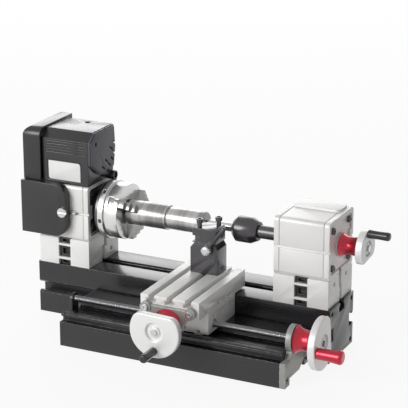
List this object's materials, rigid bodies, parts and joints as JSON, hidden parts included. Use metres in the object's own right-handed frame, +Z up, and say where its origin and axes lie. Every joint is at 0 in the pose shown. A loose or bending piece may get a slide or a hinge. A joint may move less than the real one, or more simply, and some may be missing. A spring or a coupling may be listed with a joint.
{
  "type": "mini lathe",
  "caption": "Modular mini lathe: extruded bed, belt-driven headstock with three-jaw chuck and bar, tailstock with live centre, cross slide with tool post, crank handwheels.",
  "frame": {"origin": "on the table, under the spindle axis, at the middle of the bed's length and of its fixing holes", "axes": "+X along the spindle axis from the headstock to the tailstock, +Y away from the operator, +Z up"},
  "size_m": [0.335, 0.1719, 0.173],
  "materials": {
    "black_anodised": "satin black anodised extrusion",
    "satin_aluminium": "satin natural aluminium, fine blasted grain",
    "cover_black": "fine textured black moulding",
    "motor_black": "black moulding with shallow ribs",
    "motor_cap_grey": "blue-grey moulding",
    "plate_white": "plain white plate",
    "bright_steel": "turned and ground steel",
    "chuck_steel": "ground and plated steel",
    "bar_steel": "turned steel with fine tool marks",
    "black_steel": "blackened steel",
    "dark_steel": "dark ground steel",
    "wheel_silver": "satin cast and turned aluminium",
    "red_anodised": "red anodised, turned",
    "grip_black": "smooth black",
    "nut_bronze": "turned bronze",
    "belt_rubber": "matt rubber"
  },
  "bodies": {
    "bed_frame": {"bed": "black_anodised", "headstock_spacer": "satin_aluminium", "tailstock_spacer": "satin_aluminium", "joining_keys": "cover_black", "headstock_housing": "satin_aluminium", "headstock_end_plate": "black_steel", "spindle_bearings": "bright_steel", "motor_housing": "motor_black", "motor_end_cap": "motor_cap_grey", "motor_can": "bright_steel", "rating_plate": "plate_white", "power_jack": "cover_black", "belt_cover_lower": "cover_black", "belt_cover_upper": "cover_black", "cover_screws": "bright_steel", "drive_belt": "belt_rubber", "tailstock_housing": "satin_aluminium", "tailstock_end_plate": "satin_aluminium", "quill_bush": "black_steel", "slide_profile": "black_anodised", "slide_end_plate": "satin_aluminium", "slide_end_cap": "cover_black", "end_plate_screws": "dark_steel"},
    "spindle_group": {"spindle": "bright_steel", "spindle_pulley": "black_anodised", "chuck_body": "chuck_steel", "chuck_back_plate": "dark_steel", "turned_bar": "bar_steel"},
    "scroll": {"scroll_ring": "chuck_steel"},
    "jaw_1": {"chuck_jaw_1": "bright_steel"},
    "jaw_2": {"chuck_jaw_2": "bright_steel"},
    "jaw_3": {"chuck_jaw_3": "bright_steel"},
    "motor_rotor": {"motor_shaft": "bright_steel", "motor_pulley": "black_anodised"},
    "carriage": {"saddle": "satin_aluminium", "feed_nuts": "nut_bronze"},
    "cross_slide": {"cross_table": "satin_aluminium", "cross_end_plate": "satin_aluminium", "cross_plate_screws": "bright_steel", "tool_post": "black_steel", "tool_holder": "black_steel", "tool_bit": "dark_steel", "tool_screws": "black_steel", "post_t_nut": "bright_steel"},
    "post_lever": {"clamp_lever": "black_steel"},
    "cross_feed": {"cross_screw": "bright_steel", "cross_hub": "red_anodised", "cross_handwheel": "wheel_silver"},
    "cross_crank_grip": {"cross_grip": "grip_black"},
    "lead_feed": {"lead_screw": "dark_steel", "lead_hub": "red_anodised", "lead_handwheel": "wheel_silver"},
    "lead_crank_grip": {"lead_grip": "red_anodised"},
    "tail_quill": {"quill": "dark_steel", "centre_body": "black_steel"},
    "live_centre": {"centre_point": "bright_steel"},
    "tail_feed": {"tail_screw": "bright_steel", "tail_hub": "red_anodised", "tail_handwheel": "wheel_silver"},
    "tail_crank_grip": {"tail_grip": "grip_black"}
  },
  "joints": [
    {"name": "spindle_spin", "type": "hinge", "parent": "bed_frame", "child": "spindle_group", "pos_m": [-0.114, 0, 0.098], "axis": [1, 0, 0], "continuous": true},
    {"name": "motor_spin", "type": "hinge", "parent": "bed_frame", "child": "motor_rotor", "pos_m": [-0.114, -0.0045, 0.15], "axis": [1, 0, 0], "continuous": true},
    {"name": "scroll_turn", "type": "hinge", "parent": "spindle_group", "child": "scroll", "pos_m": [-0.078, 0, 0.098], "axis": [1, 0, 0], "range_deg": [0, 480]},
    {"name": "jaw_1_slide", "type": "slide", "parent": "spindle_group", "child": "jaw_1", "axis": [0, -0.848, 0.5299], "range_m": [0, 0.004]},
    {"name": "jaw_2_slide", "type": "slide", "parent": "spindle_group", "child": "jaw_2", "axis": [0, -0.0349, -0.9994], "range_m": [0, 0.004]},
    {"name": "jaw_3_slide", "type": "slide", "parent": "spindle_group", "child": "jaw_3", "axis": [0, 0.8829, 0.4695], "range_m": [0, 0.004]},
    {"name": "lead_turn", "type": "hinge", "parent": "bed_frame", "child": "lead_feed", "pos_m": [0.13, -0.0678, 0.0362], "axis": [1, 0, 0], "range_deg": [-20520.1, 12240.1]},
    {"name": "saddle_slide", "type": "slide", "parent": "bed_frame", "child": "carriage", "axis": [1, 0, 0], "range_m": [-0.057, 0.034]},
    {"name": "cross_turn", "type": "hinge", "parent": "cross_slide", "child": "cross_feed", "pos_m": [0.027, -0.11, 0.0448], "axis": [0, 1, 0], "range_deg": [-14400.1, 0]},
    {"name": "cross_slide_travel", "type": "slide", "parent": "carriage", "child": "cross_slide", "axis": [0, 1, 0], "range_m": [-0.04, 0]},
    {"name": "tail_turn", "type": "hinge", "parent": "bed_frame", "child": "tail_feed", "pos_m": [0.145, 0, 0.098], "axis": [1, 0, 0], "range_deg": [0, 7200.1]},
    {"name": "quill_slide", "type": "slide", "parent": "bed_frame", "child": "tail_quill", "axis": [1, 0, 0], "range_m": [0, 0.02]},
    {"name": "centre_spin", "type": "hinge", "parent": "tail_quill", "child": "live_centre", "pos_m": [0.045, 0, 0.098], "axis": [1, 0, 0], "continuous": true},
    {"name": "cross_grip_spin", "type": "hinge", "parent": "cross_feed", "child": "cross_crank_grip", "pos_m": [0.02642, -0.14, 0.02831], "axis": [0, 1, 0], "continuous": true},
    {"name": "lead_grip_spin", "type": "hinge", "parent": "lead_feed", "child": "lead_crank_grip", "pos_m": [0.17, -0.08418, 0.03419], "axis": [1, 0, 0], "continuous": true},
    {"name": "tail_grip_spin", "type": "hinge", "parent": "tail_feed", "child": "tail_crank_grip", "pos_m": [0.17, -0.00141, 0.11143], "axis": [1, 0, 0], "continuous": true},
    {"name": "post_lever_turn", "type": "hinge", "parent": "cross_slide", "child": "post_lever", "pos_m": [0.031, -0.0368, 0.087], "axis": [0, 1, 0], "range_deg": [0, 60]}
  ],
  "couplings": [
    {"joint": "motor_spin", "follows": "spindle_spin", "ratio": 2.638},
    {"joint": "jaw_1_slide", "follows": "scroll_turn", "m_per_rad": 0.00047746},
    {"joint": "jaw_2_slide", "follows": "scroll_turn", "m_per_rad": 0.00047746},
    {"joint": "jaw_3_slide", "follows": "scroll_turn", "m_per_rad": 0.00047746},
    {"joint": "lead_turn", "follows": "saddle_slide", "rad_per_m": 6283.2},
    {"joint": "cross_turn", "follows": "cross_slide_travel", "rad_per_m": 6283.2},
    {"joint": "tail_turn", "follows": "quill_slide", "rad_per_m": 6283.2}
  ]
}
